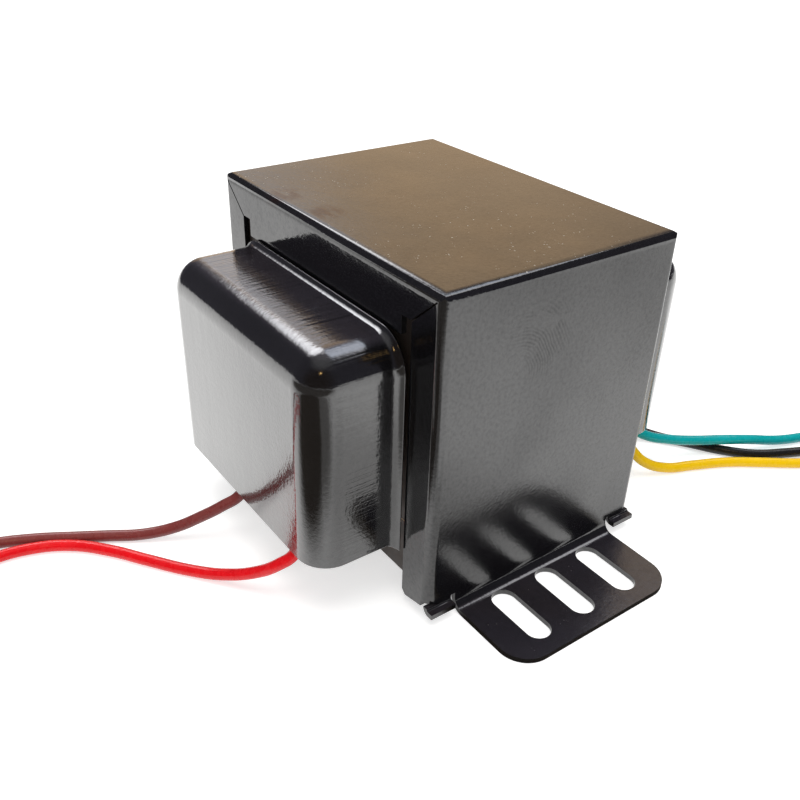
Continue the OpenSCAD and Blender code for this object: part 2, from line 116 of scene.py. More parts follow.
class Graph:
    """Builder for the nodes of one material or world."""

    def __init__(self, owner: bpy.types.Material | bpy.types.World, shader: str) -> None:
        """Starts from the shader that a new material or world holds.

        Args:
            owner: New material or world.
            shader: Name of its shader node.
        """
        owner.use_nodes = True
        self.tree = owner.node_tree
        self.shader = self.tree.nodes[shader]
        self.coords = self.node("TexCoord")
        self.place = self.coords["Object"]
        self.facing = self.coords["Normal"]

    def node(
        self, kind: str, inputs: dict[int | str, object] | None = None, **settings: str
    ) -> bpy.types.NodeOutputs:
        """Adds a node and feeds its inputs.

        Args:
            kind: Blender's name of the node, without ShaderNode before it.
            inputs: Sockets to link or constants to write, by an input's name or number.
            **settings: Properties of the node, such as its operation.

        Returns:
            The outputs of the node.
        """
        node = self.tree.nodes.new(f"ShaderNode{kind}")
        for name, value in settings.items():
            setattr(node, name, value)
        for name, value in (inputs or {}).items():
            socket = node.inputs[name]
            if isinstance(value, Socket):
                self.tree.links.new(value, socket)
            else:
                socket.default_value = (*value, 1.0) if socket.type == "RGBA" else value
        return node.outputs

    def set(self, **values: float) -> None:
        """Sets constant values on the shader's own sockets.

        Args:
            **values: Socket names with underscores for spaces, and values.
        """
        for name, value in values.items():
            self.shader.inputs[name.replace("_", " ")].default_value = value

    def link(self, source: Socket, name: str) -> None:
        """Links a socket to one of the shader's inputs."""
        self.tree.links.new(source, self.shader.inputs[name])

    def noise(self, pattern: Pattern) -> Socket:
        """Adds a noise texture, whose scale may differ along X, Y and Z.

        Args:
            pattern: What the noise is like.

        Returns:
            The factor socket, before any mapping.
        """
        at, scale = self.place, pattern.scale
        if isinstance(scale, tuple):
            at, scale = self.node("Mapping", {"Vector": at, "Scale": scale})["Vector"], 1.0
        inputs = {"Vector": at, "Scale": scale, "Detail": pattern.detail, "Roughness": pattern.roughness}
        return self.node("TexNoise", inputs)["Fac"]

    def pattern(self, pattern: Pattern) -> Socket:
        """Adds a noise texture and maps it onto the pattern's range."""
        return self.span(self.noise(pattern), pattern.low, pattern.high, pattern.start, pattern.end)

    def cells(self, scale: float) -> Socket:
        """Adds a Voronoi texture and gives its distance socket."""
        return self.node("TexVoronoi", {"Vector": self.place, "Scale": scale})["Distance"]

    def stripes(self, axis: str, pitch: float) -> Socket:
        """Gives even waves from 0 to 1 along an axis.

        Args:
            axis: X, Y or Z.
            pitch: Length of one wave.

        Returns:
            The factor socket.
        """
        turns = self.calc("MULTIPLY", self.axis(axis), 2.0 * math.pi / (pitch * MM))
        return self.calc("ADD", self.calc("MULTIPLY", self.calc("SINE", turns), 0.5), 0.5)

    def ridges(self, middle: Point, pitch: float) -> Socket:
        """Adds wandering rings round a line along X, as a fingertip leaves them.

        Args:
            middle: Point on the middle line.
            pitch: Distance between two ridges.

        Returns:
            The factor socket.
        """
        inputs = {
            "Vector": self.vector("SUBTRACT", self.place, metres(middle)),
            "Scale": 2.0 * math.pi / (WAVE_TURN * pitch * MM),
            "Distortion": 16.0,
            "Detail Scale": 0.2,
        }
        return self.node("TexWave", inputs, wave_type="RINGS", rings_direction="X")["Fac"]

    def spot(self, spot: Spot) -> Socket:
        """Gives a soft round spot of the surface."""
        away = self.vector("DISTANCE", self.place, metres(spot.at))
        return self.span(away, spot.outer * MM, spot.inner * MM, 0.0, spot.most)

    def axis(self, name: str, of: Socket | None = None) -> Socket:
        """Gives one component of a vector, or of the Object coordinates."""
        return self.node("SeparateXYZ", {"Vector": of or self.place})[name]

    def vector(self, operation: str, a: Socket, b: Vector | Point = (0.0, 0.0, 0.0)) -> Socket:
        """Adds a Vector Math node.

        Args:
            operation: Blender's name of the operation.
            a: First vector.
            b: Second vector, in metres where it is a place.

        Returns:
            The vector socket, or the value socket of an operation that gives a number.
        """
        outputs = self.node("VectorMath", {0: a, 1: b}, operation=operation)
        return outputs["Value" if operation in NUMBER_OPERATIONS else "Vector"]

    def calc(self, operation: str, *values: Socket | float) -> Socket:
        """Adds Math nodes, one after the other where there are more than two values.

        Args:
            operation: Blender's name of the operation.
            *values: Sockets or numbers.

        Returns:
            The value socket.
        """
        result, *others = values
        for other in others or [0.0]:
            result = self.node("Math", {0: result, 1: other}, operation=operation)["Value"]
        return result

    def span(self, value: Socket, low: float, high: float, start: float = 0.0, end: float = 1.0) -> Socket:
        """Maps a span of a value smoothly onto another span.

        Args:
            value: Socket to map.
            low: Value that gives start.
            high: Value that gives end.
            start: First end of the result.
            end: Second end of the result.

        Returns:
            The mapped socket.
        """
        inputs = {"Value": value, "From Min": low, "From Max": high, "To Min": start, "To Max": end}
        return self.node("MapRange", inputs, interpolation_type="SMOOTHSTEP")["Result"]

    def blend(self, factor: Socket, a: Socket | Colour, b: Socket | Colour) -> Socket:
        """Mixes two colours, where a factor of 0 gives the first."""
        return self.node("Mix", {"Factor": factor, "A": a, "B": b}, data_type="RGBA")["Result"]

    def bump(self, height: Socket, depth: float, under: Socket | None = None) -> Socket:
        """Adds a Bump node.

        Args:
            height: Socket with heights from 0 to 1.
            depth: Depth of the relief.
            under: Normal socket of a bump below this one.

        Returns:
            The normal socket.
        """
        inputs = {"Strength": 1.0, "Distance": depth * MM, "Height": height}
        if under is not None:
            inputs["Normal"] = under
        return self.node("Bump", inputs)["Normal"]

    def rays(self, kind: str) -> Socket:
        """Gives 1 for rays of one kind, such as Glossy, and 0 for others."""
        return self.node("LightPath")[f"Is {kind} Ray"]


@dataclass(frozen=True)
class Finish:
    """Base of the finishes, each of which paints one material."""

    name: str

    def make(self) -> bpy.types.Material:
        """Builds the material.

        Returns:
            The finished material.
        """
        material = bpy.data.materials.new(self.name)
        self.paint(Graph(material, "Principled BSDF"))
        return material

    def paint(self, g: Graph) -> None:
        """Adds the nodes of the finish to a new material.

        Args:
            g: Nodes of the material.
        """
        raise NotImplementedError


class Drawn(Enum):
    """Way that a sheet was worked before it was painted."""

    FLAT = "flat"
    DEEP = "deep"


@dataclass(frozen=True)
class GlossEnamel(Finish):
    """Baked gloss black enamel on sheet steel, with painted light and dust on what faces up and marks of
    handling.
    """

    drawn: Drawn = Drawn.FLAT
    black: Colour = (0.004, 0.004, 0.005)
    dust: Colour = (0.38, 0.35, 0.3)
    film: Colour = (0.035, 0.022, 0.012)
    # Painted light: the room's colour, dimmed, on faces that point up.
    painted_upward_light: Colour = (0.031, 0.028, 0.036)
    grease: Colour = (0.01, 0.01, 0.01)
    rubbed: Colour = (0.03, 0.01, 0.005)
    level: Span = (0.8, 0.98)
    dusty_height: Span = (50.0, 60.0)
    dust_below: float = 0.15
    speck_scale: float = 1150.0
    speck_size: Span = (0.18, 0.1)
    speck_share: Pattern = Pattern(420.0, 3.0, low=0.5, high=0.58)
    speck_drift: Pattern = Pattern(45.0, low=0.35, high=0.6)
    speck_rough: float = 0.4
    haze: Pattern = Pattern(38.0, 4.0, 0.6, low=0.4, high=0.75)
    touch: Spot = Spot((34.0, -5.0, 50.0), 3.0, 9.0)
    touch_smear: Pattern = Pattern(280.0, low=0.4, high=0.6)
    touch_wear: float = 0.26
    whorl: Point = (34.0, -10.0, 44.5)
    ridge_pitch: float = 0.6
    rubs: tuple[Spot, ...] = (Spot((-15.9, -21.6, 61.5), 1.5, 4.5), Spot((-4.3, -20.8, 61.5), 1.5, 4.5))
    rub_streaks: Pattern = Pattern((160.0, 700.0, 160.0), 3.0, 0.6, low=0.38, high=0.55)
    rub_wear: float = 0.55
    pits: Pattern = Pattern(1500.0, 3.0, 0.7, low=0.4, high=0.7, end=0.2)
    cloud: Pattern = Pattern(32.0, 3.0, 0.6, low=0.35, high=0.7, end=0.2)
    folded_gloss: Pattern = Pattern(55.0, 5.0, 0.6, start=0.16, end=0.22)
    fold_facing: Span = (0.995, 0.95)
    fold_polish: float = 0.11
    lip_facing: Span = (0.9, 0.98)
    lip_polish: float = 0.1
    drawn_gloss: Pattern = Pattern(55.0, 5.0, 0.6, start=0.1, end=0.16)
    draw_lines: Pattern = Pattern((1500.0, 11.0, 1500.0), 3.0, 0.65, low=0.5, high=0.66)
    line_wall: Span = (0.35, 0.08)
    line_top: Span = (0.2, 0.8)
    line_on_side: float = 0.4
    line_wear: float = 0.5
    line_depth: float = 0.14
    coat_line_depth: float = 0.04
    sag: Pattern = Pattern((220.0, 220.0, 35.0))
    sag_depth: float = 0.03
    peel: Pattern = Pattern(650.0, 1.0)
    peel_depth: float = 0.012
    grain: Pattern = Pattern(1900.0)
    grain_depth: float = 0.016

    def paint(self, g: Graph) -> None:
        """Lifts faces that point up with painted light, lays film, marks and dust over the black, then
        gives it wear, gloss and relief.

        Args:
            g: Nodes of the material.
        """
        up = g.span(g.axis("Z", g.facing), *self.level)
        low, high = (z * MM for z in self.dusty_height)
        dusty = g.calc("MULTIPLY", up, g.span(g.axis("Z"), low, high, self.dust_below))
        specks, touched, rub = self._specks(g, dusty), self._touched(g), self._rubbed(g)
        haze = g.calc("MULTIPLY", g.pattern(self.haze), dusty)
        # Painted light on faces that point up, where the film doesn't lie.
        colour = g.blend(g.calc("SUBTRACT", up, dusty), self.black, self.painted_upward_light)
        layers = ((haze, self.film), (touched, self.grease), (rub, self.rubbed), (specks, self.dust))
        for share, tint in layers:
            colour = g.blend(share, colour, tint)
        g.link(colour, "Base Color")
        g.link(g.calc("ADD", self._rough(g), g.calc("MULTIPLY", specks, self.speck_rough)), "Roughness")
        wear = [g.pattern(self.pits), g.pattern(self.cloud)]
        wear += [g.calc("MULTIPLY", rub, self.rub_wear), g.calc("MULTIPLY", touched, self.touch_wear)]
        relief = g.bump(g.noise(self.sag), self.sag_depth)
        relief = g.bump(g.noise(self.peel), self.peel_depth, relief)
        relief = g.bump(g.noise(self.grain), self.grain_depth, relief)
        if self.drawn is Drawn.DEEP:
            g.set(IOR=1.62, Coat_Weight=1.0, Coat_Roughness=0.04, Coat_IOR=1.62)
            lines = self._lines(g)
            wear.append(g.span(lines, self.draw_lines.low, self.draw_lines.high, 0.0, self.line_wear))
            g.link(g.bump(lines, self.coat_line_depth, relief), "Coat Normal")
            relief = g.bump(lines, self.line_depth, relief)
        else:
            g.set(IOR=1.88)
        g.link(g.calc("ADD", *wear), "Metallic")
        g.link(relief, "Normal")

    def _specks(self, g: Graph, dusty: Socket) -> Socket:
        """Gives the specks of dust, which lie in drifts.

        Args:
            g: Nodes of the material.
            dusty: How much of the surface takes dust.

        Returns:
            The factor socket.
        """
        dots = g.span(g.cells(self.speck_scale), *self.speck_size)
        return g.calc("MULTIPLY", dots, g.pattern(self.speck_share), g.pattern(self.speck_drift), dusty)

    def _touched(self, g: Graph) -> Socket:
        """Gives the faint finger mark on the right side."""
        smear = g.pattern(self.touch_smear)
        return g.calc("MULTIPLY", g.spot(self.touch), smear, g.ridges(self.whorl, self.ridge_pitch))

    def _rubbed(self, g: Graph) -> Socket:
        """Gives the brown rub marks on the top, in streaks along X."""
        marks = g.calc("MAXIMUM", *(g.spot(rub) for rub in self.rubs))
        return g.calc("MULTIPLY", marks, g.pattern(self.rub_streaks))

    def _lines(self, g: Graph) -> Socket:
        """Gives the lines that drawing left along Y, strongest on the top.

        Args:
            g: Nodes of the material.

        Returns:
            The height socket.
        """
        wall = g.span(g.calc("ABSOLUTE", g.axis("Y", g.facing)), *self.line_wall)
        top = g.span(g.axis("Z", g.facing), *self.line_top, self.line_on_side)
        return g.calc("MULTIPLY", g.noise(self.draw_lines), wall, top)

    def _rough(self, g: Graph) -> Socket:
        """Gives the uneven gloss, which is higher on the lips and where the sheet is folded.

        Args:
            g: Nodes of the material.

        Returns:
            The roughness socket.
        """
        if self.drawn is Drawn.DEEP:
            return g.pattern(self.drawn_gloss)
        x, y, z = (g.calc("ABSOLUTE", g.axis(name, g.facing)) for name in "XYZ")
        folds = g.span(g.calc("MAXIMUM", x, y, z), *self.fold_facing, 0.0, self.fold_polish)
        lips = g.span(y, *self.lip_facing, 0.0, self.lip_polish)
        return g.calc("SUBTRACT", g.pattern(self.folded_gloss), g.calc("MAXIMUM", folds, lips))


@dataclass(frozen=True)
class PvcSheath(Finish):
    """Glossy extruded PVC insulation of a lead."""

    colour: Colour
    deep: float = 0.78
    mottle: Pattern = Pattern(240.0, 3.0)
    gloss: Pattern = Pattern(700.0, 3.0, start=0.2, end=0.34)
    skin: Pattern = Pattern(900.0)
    skin_depth: float = 0.015

    def paint(self, g: Graph) -> None:
        """Mottles the colour and gives the skin its gloss.

        Args:
            g: Nodes of the material.
        """
        g.set(IOR=1.36, Coat_Weight=0.2, Coat_Roughness=0.05, Coat_IOR=1.4)
        darker = tuple(c * self.deep for c in self.colour)
        g.link(g.blend(g.noise(self.mottle), self.colour, darker), "Base Color")
        g.link(g.pattern(self.gloss), "Roughness")
        g.link(g.bump(g.noise(self.skin), self.skin_depth), "Normal")


@dataclass(frozen=True)
class LaminatedSteel(Finish):
    """Stack of oxidised lamination sheets, with their edges along Y."""

    light: Colour = (0.11, 0.08, 0.058)
    dark: Colour = (0.04, 0.03, 0.025)
    sheet: float = 0.5
    seam: Span = (0.0, 0.25)
    edge_depth: float = 0.05
    stain: Pattern = Pattern(70.0, 5.0, 0.65)
    gloss: Pattern = Pattern(160.0, 4.0, start=0.42, end=0.62)
    scale: Pattern = Pattern(500.0, 4.0)
    scale_depth: float = 0.03

    def paint(self, g: Graph) -> None:
        """Stains the steel and draws the edges of its sheets.

        Args:
            g: Nodes of the material.
        """
        g.set(Metallic=0.55, IOR=1.6)
        edges = g.stripes("Y", self.sheet)
        tone = g.blend(g.pattern(self.stain), self.dark, self.light)
        g.link(g.blend(g.span(edges, *self.seam), self.dark, tone), "Base Color")
        g.link(g.pattern(self.gloss), "Roughness")
        scaled = g.bump(g.noise(self.scale), self.scale_depth)
        g.link(g.bump(edges, self.edge_depth, scaled), "Normal")


@dataclass(frozen=True)
class WoundCopper(Finish):
    """Layers of enamelled copper wire that run round a coil."""

    colour: Colour = (0.62, 0.22, 0.07)
    # Colour of the painted shade in the grooves between turns.
    dark: Colour = (0.25, 0.07, 0.02)
    wire: float = 0.4
    groove: Span = (0.0, 0.6)
    wire_depth: float = 0.08
    gloss: Pattern = Pattern(200.0, 3.0, start=0.28, end=0.45)

    def paint(self, g: Graph) -> None:
        """Draws the turns of wire, with painted shade in the grooves between them.

        Args:
            g: Nodes of the material.
        """
        g.set(Metallic=0.85, Coat_Weight=0.4, Coat_Roughness=0.15)
        wires = g.stripes("Z", self.wire)
        # Painted shade: darker in the grooves between turns.
        g.link(g.blend(g.span(wires, *self.groove), self.dark, self.colour), "Base Color")
        g.link(g.pattern(self.gloss), "Roughness")
        g.link(g.bump(wires, self.wire_depth), "Normal")


@dataclass(frozen=True)
class FibrePaper(Finish):
    """Kraft or fish paper used as insulation."""

    colour: Colour = (0.52, 0.36, 0.17)
    fleck: Colour = (0.34, 0.21, 0.09)
    fibres: Pattern = Pattern((900.0, 900.0, 220.0), 4.0, 0.7, low=0.35, high=0.75)
    fibre_depth: float = 0.03
    gloss: Pattern = Pattern(300.0, 3.0, start=0.7, end=0.85)

    def paint(self, g: Graph) -> None:
        """Flecks the paper with its fibres.

        Args:
            g: Nodes of the material.
        """
        g.link(g.blend(g.pattern(self.fibres), self.colour, self.fleck), "Base Color")
        g.link(g.pattern(self.gloss), "Roughness")
        g.link(g.bump(g.noise(self.fibres), self.fibre_depth), "Normal")


@dataclass(frozen=True)
class SmoothPlastic(Finish):
    """Moulded or film plastic with a slight grain."""

    colour: Colour
    roughness: float
    smoother: float = 0.06
    rougher: float = 0.08
    deep: float = 0.85
    mottle: Pattern = Pattern(90.0, 4.0)
    gloss_scale: float = 260.0
    grain: Pattern = Pattern(800.0)
    grain_depth: float = 0.02

    def paint(self, g: Graph) -> None:
        """Mottles the colour and gives the surface its grain.

        Args:
            g: Nodes of the material.
        """
        darker = tuple(c * self.deep for c in self.colour)
        g.link(g.blend(g.noise(self.mottle), self.colour, darker), "Base Color")
        low, high = self.roughness - self.smoother, self.roughness + self.rougher
        g.link(g.pattern(Pattern(self.gloss_scale, 3.0, start=low, end=high)), "Roughness")
        g.link(g.bump(g.noise(self.grain), self.grain_depth), "Normal")


@dataclass(frozen=True)
class TinnedCopper(Finish):
    """Dull silver solder coat on stranded wire."""

    colour: Colour = (0.66, 0.65, 0.62)
    dull: Colour = (0.38, 0.37, 0.35)
    tarnish: Pattern = Pattern(900.0, 4.0, low=0.35, high=0.7)
    gloss: Pattern = Pattern(1500.0, 3.0, start=0.24, end=0.42)
    solder: Pattern = Pattern(1200.0, 3.0)
    solder_depth: float = 0.04

    def paint(self, g: Graph) -> None:
        """Dulls the solder in places.

        Args:
            g: Nodes of the material.
        """
        g.set(Metallic=1.0)
        g.link(g.blend(g.pattern(self.tarnish), self.colour, self.dull), "Base Color")
        g.link(g.pattern(self.gloss), "Roughness")
        g.link(g.bump(g.noise(self.solder), self.solder_depth), "Normal")


def add_piece(name: str, mesh: bpy.types.ID, material: bpy.types.Material) -> bpy.types.Object:
    """Adds an object at the origin that moves with the part's body.

    Args:
        name: Name of the piece.
        mesh: Mesh or curve data of the piece.
        material: Finish of the piece.

    Returns:
        The new object.
    """
    piece = bpy.data.objects.new(name, mesh)
    bpy.context.scene.collection.objects.link(piece)
    mesh.materials.clear()
    mesh.materials.append(material)
    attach(piece, BODY)
    LOG.info("%s made in %s", name, material.name)
    return piece


def finish_mesh(bm: bmesh.types.BMesh, name: str) -> bpy.types.Mesh:
    """Turns a bmesh into a smooth-shaded mesh and frees it.

    Args:
        bm: The modelled bmesh.
        name: Name of the mesh.

    Returns:
        The new mesh.
    """
    for face in bm.faces:
        face.smooth = True
    mesh = bpy.data.meshes.new(name)
    bm.to_mesh(mesh)
    bm.free()
    return mesh


def soften_edges(piece: bpy.types.Object, width: float, angle: float) -> None:
    """Rounds a piece's sharp edges with two faces each and evens out its shading.

    Args:
        piece: Object to change.
        width: Width of the rounding.
        angle: Smallest angle that counts as an edge.
    """
    bevel = piece.modifiers.new("edge_rounding", "BEVEL")
    bevel.width = width * MM
    bevel.segments = 2
    bevel.limit_method = "ANGLE"
    bevel.angle_limit = math.radians(angle)
    even = piece.modifiers.new("even_shading", "WEIGHTED_NORMAL")
    even.keep_sharp = True


@dataclass
class Bell:
    """Drawn cover over one end of the coil, with a flared rim on the frame's lips."""

    width: float = 51.3
    top: float = 51.1
    bottom: float = 12.6
    face: float = 42.0
    seat: float = 25.1
    sheet: float = 0.8
    edge_radius: float = 5.8
    edge_faces: int = 10
    rim_radius: float = 2.6
    rim_turn: float = 50.0
    rim_drop: float = 1.4
    rim_steps: int = 8
    cut_edge: float = 0.18
    cut_angle: float = 50.0

    def shell(self) -> bmesh.types.BMesh:
        """Models the outer surface of the front bell.

        Returns:
            An open shell with its face towards -Y.
        """
        bm = bmesh.new()
        bmesh.ops.create_cube(bm, size=1.0)
        crease = -self.seat - (self.sheet + self.rim_radius) * math.sin(math.radians(self.rim_turn))
        size = Vector((self.width, self.face + crease, self.top - self.bottom)) * MM
        middle = metres((0.0, (crease - self.face) / 2, (self.top + self.bottom) / 2))
        bmesh.ops.scale(bm, vec=size, verts=bm.verts)
        bmesh.ops.translate(bm, vec=middle, verts=bm.verts)
        open_sides = [f for f in bm.faces if f.normal.y > FACING or f.normal.z < -FACING]
        bmesh.ops.delete(bm, geom=open_sides, context="FACES")
        drawn = [e for e in bm.edges if len(e.link_faces) == 2]
        bmesh.ops.bevel(
            bm, geom=drawn, offset=self.edge_radius * MM, offset_type="OFFSET", segments=self.edge_faces,
            profile=0.5, affect="EDGES", material=-1,
        )
        self._flare_rim(bm, crease * MM)
        return bm

    def _flare_rim(self, bm: bmesh.types.BMesh, crease: float) -> None:
        """Flares the open back of a shell outwards.

        Args:
            bm: The drawn shell.
            crease: Place in metres where the walls end and the flare begins.
        """
        inner_x = (self.width / 2 - self.edge_radius) * MM
        inner_z = (self.top - self.edge_radius) * MM
        low = self.bottom * MM + SAME_PLACE
        turns = [math.radians(self.rim_turn * i / self.rim_steps) for i in range(self.rim_steps + 1)]
        rim = [
            e for e in bm.edges
            if e.is_boundary and all(abs(v.co.y - crease) < SAME_PLACE for v in e.verts)
        ]
        for start, end in zip(turns, turns[1:]):
            made = bmesh.ops.extrude_edge_only(bm, edges=rim)["geom"]
            verts = {v for v in made if isinstance(v, bmesh.types.BMVert)}
            rim = [e for e in made if isinstance(e, bmesh.types.BMEdge) and verts.issuperset(e.verts)]
            out = self.rim_radius * MM * (math.cos(start) - math.cos(end))
            back = self.rim_radius * MM * (math.sin(end) - math.sin(start))
            for v in verts:
                core = Vector((max(-inner_x, min(inner_x, v.co.x)), v.co.y, min(inner_z, v.co.z)))
                v.co += (v.co - core).normalized() * out
                v.co.y += back
                if v.co.z < low:
                    v.co.z -= self.rim_drop * MM / self.rim_steps

    def build(self, name: str, node: str, turn: float, enamel: bpy.types.Material) -> None:
        """Makes one bell in place of its CAD node.

        Args:
            name: Name of the piece.
            node: CAD node that the piece stands for.
            turn: Turn about Z, 0 for the front.
            enamel: Finish of the bell.
        """
        bm = self.shell()
        spin = Matrix.Rotation(math.radians(turn), 3, "Z")
        bmesh.ops.rotate(bm, cent=(0.0, 0.0, 0.0), matrix=spin, verts=bm.verts)
        bmesh.ops.recalc_face_normals(bm, faces=bm.faces)
        piece = add_piece(name, finish_mesh(bm, name), enamel)
        wall = piece.modifiers.new("sheet", "SOLIDIFY")
        wall.thickness = self.sheet * MM
        wall.offset = -1.0
        wall.use_even_offset = True
        soften_edges(piece, self.cut_edge, self.cut_angle)
        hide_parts(node)


@dataclass
class ChannelFrame:
    """Folded channel frame: a copy of its CAD node with softened sheet edges."""

    node: str = "channel_frame"
    flat_angle: float = 0.4
    cut_edge: float = 0.2
    cut_angle: float = 40.0

    def build(self, frame: dict, enamel: bpy.types.Material) -> None:
        """Makes the frame in place of its CAD node.

        Args:
            enamel: Finish of the frame.
        """
        bm = bmesh.new()
        bm.from_mesh(frame["nodes"][self.node].data)
        bmesh.ops.remove_doubles(bm, verts=bm.verts, dist=SAME_PLACE)
        flat = math.radians(self.flat_angle)
        bmesh.ops.dissolve_limit(bm, angle_limit=flat, verts=bm.verts, edges=bm.edges)
        piece = add_piece("folded_frame", finish_mesh(bm, "folded_frame"), enamel)
        soften_edges(piece, self.cut_edge, self.cut_angle)
        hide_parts(self.node)


@dataclass(frozen=True)
class Lead:
    """Flying lead with a stripped, twisted and tinned end."""

    colour_name: str
    colour: Colour
    route: tuple[Point, ...]
    exit_index: int = 8
    diameter: float = 2.2
    round_steps: int = 5
    bend_steps: int = 8
    tip_diameter: float = 1.1
    tip_length: float = 6.0
    strands: int = 7
    strand_faces: int = 6
    groove: float = 0.1
    twist: float = 200.0
    twist_steps: int = 16

    def sheath(self) -> bpy.types.Object:
        """Lays the insulated wire along its route.

        Returns:
            The curve object.
        """
        name = f"{self.colour_name}_sheath"
        pvc = f"{self.colour_name}_pvc"
        curve = bpy.data.curves.new(name, "CURVE")
        curve.dimensions = "3D"
        curve.bevel_depth = self.diameter / 2 * MM
        curve.bevel_resolution = self.round_steps
        curve.resolution_u = self.bend_steps
        curve.use_fill_caps = True
        spline = curve.splines.new("BEZIER")
        spline.bezier_points.add(len(self.route) - 1)
        for point, at in zip(spline.bezier_points, self.route):
            point.co = metres(at)
            point.handle_left_type = point.handle_right_type = "AUTO"
        piece = add_piece(name, curve, PvcSheath(pvc, self.colour).make())
        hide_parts(f"{self.colour_name}_lead")
        return piece

    def tip(self, tin: bpy.types.Material) -> bpy.types.Object:
        """Twists the stripped strands at the lead's far end.

        Args:
            tin: Material of the strands.

        Returns:
            The mesh object.
        """
        start, before = metres(self.route[-1]), metres(self.route[-2])
        along = (start - before).normalized()
        bm = bmesh.new()
        faces = self.strand_faces * self.strands
        ring = bmesh.ops.create_circle(bm, cap_ends=False, segments=faces, radius=1.0)["verts"]
        for v in ring:
            lobe = 1.0 - self.groove + self.groove * math.cos(self.strands * math.atan2(v.co.y, v.co.x))
            v.co *= lobe * self.tip_diameter / 2 * MM
        aim = along.to_track_quat("Z", "Y").to_matrix()
        bmesh.ops.rotate(bm, cent=(0.0, 0.0, 0.0), matrix=aim, verts=bm.verts)
        bmesh.ops.translate(bm, vec=start, verts=bm.verts)
        first = list(bm.edges)
        swept = bmesh.ops.spin(
            bm, geom=first, cent=start, axis=along, dvec=along * self.tip_length * MM / self.twist_steps,
            angle=math.radians(self.twist), steps=self.twist_steps, use_merge=False,
        )["geom_last"]
        last = [e for e in swept if isinstance(e, bmesh.types.BMEdge)]
        bmesh.ops.contextual_create(bm, geom=first)
        bmesh.ops.contextual_create(bm, geom=last)
        bmesh.ops.recalc_face_normals(bm, faces=bm.faces)
        name = f"{self.colour_name}_strands"
        piece = add_piece(name, finish_mesh(bm, name), tin)
        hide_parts(f"{self.colour_name}_tip")
        return piece

    def length(self) -> float:
        """Gives the lead's length along its route in metres."""
        ends = zip(self.route, self.route[1:])
        return sum((metres(b) - metres(a)).length for a, b in ends)

    def build(self, tin: bpy.types.Material) -> None:
        """Args:
            tin: Material of the stripped end.
        """
        sheath = self.sheath()
        tip = self.tip(tin)
        self.length()
        LOG.info("%s lead: %.0f mm", self.colour_name, self.length() / MM)


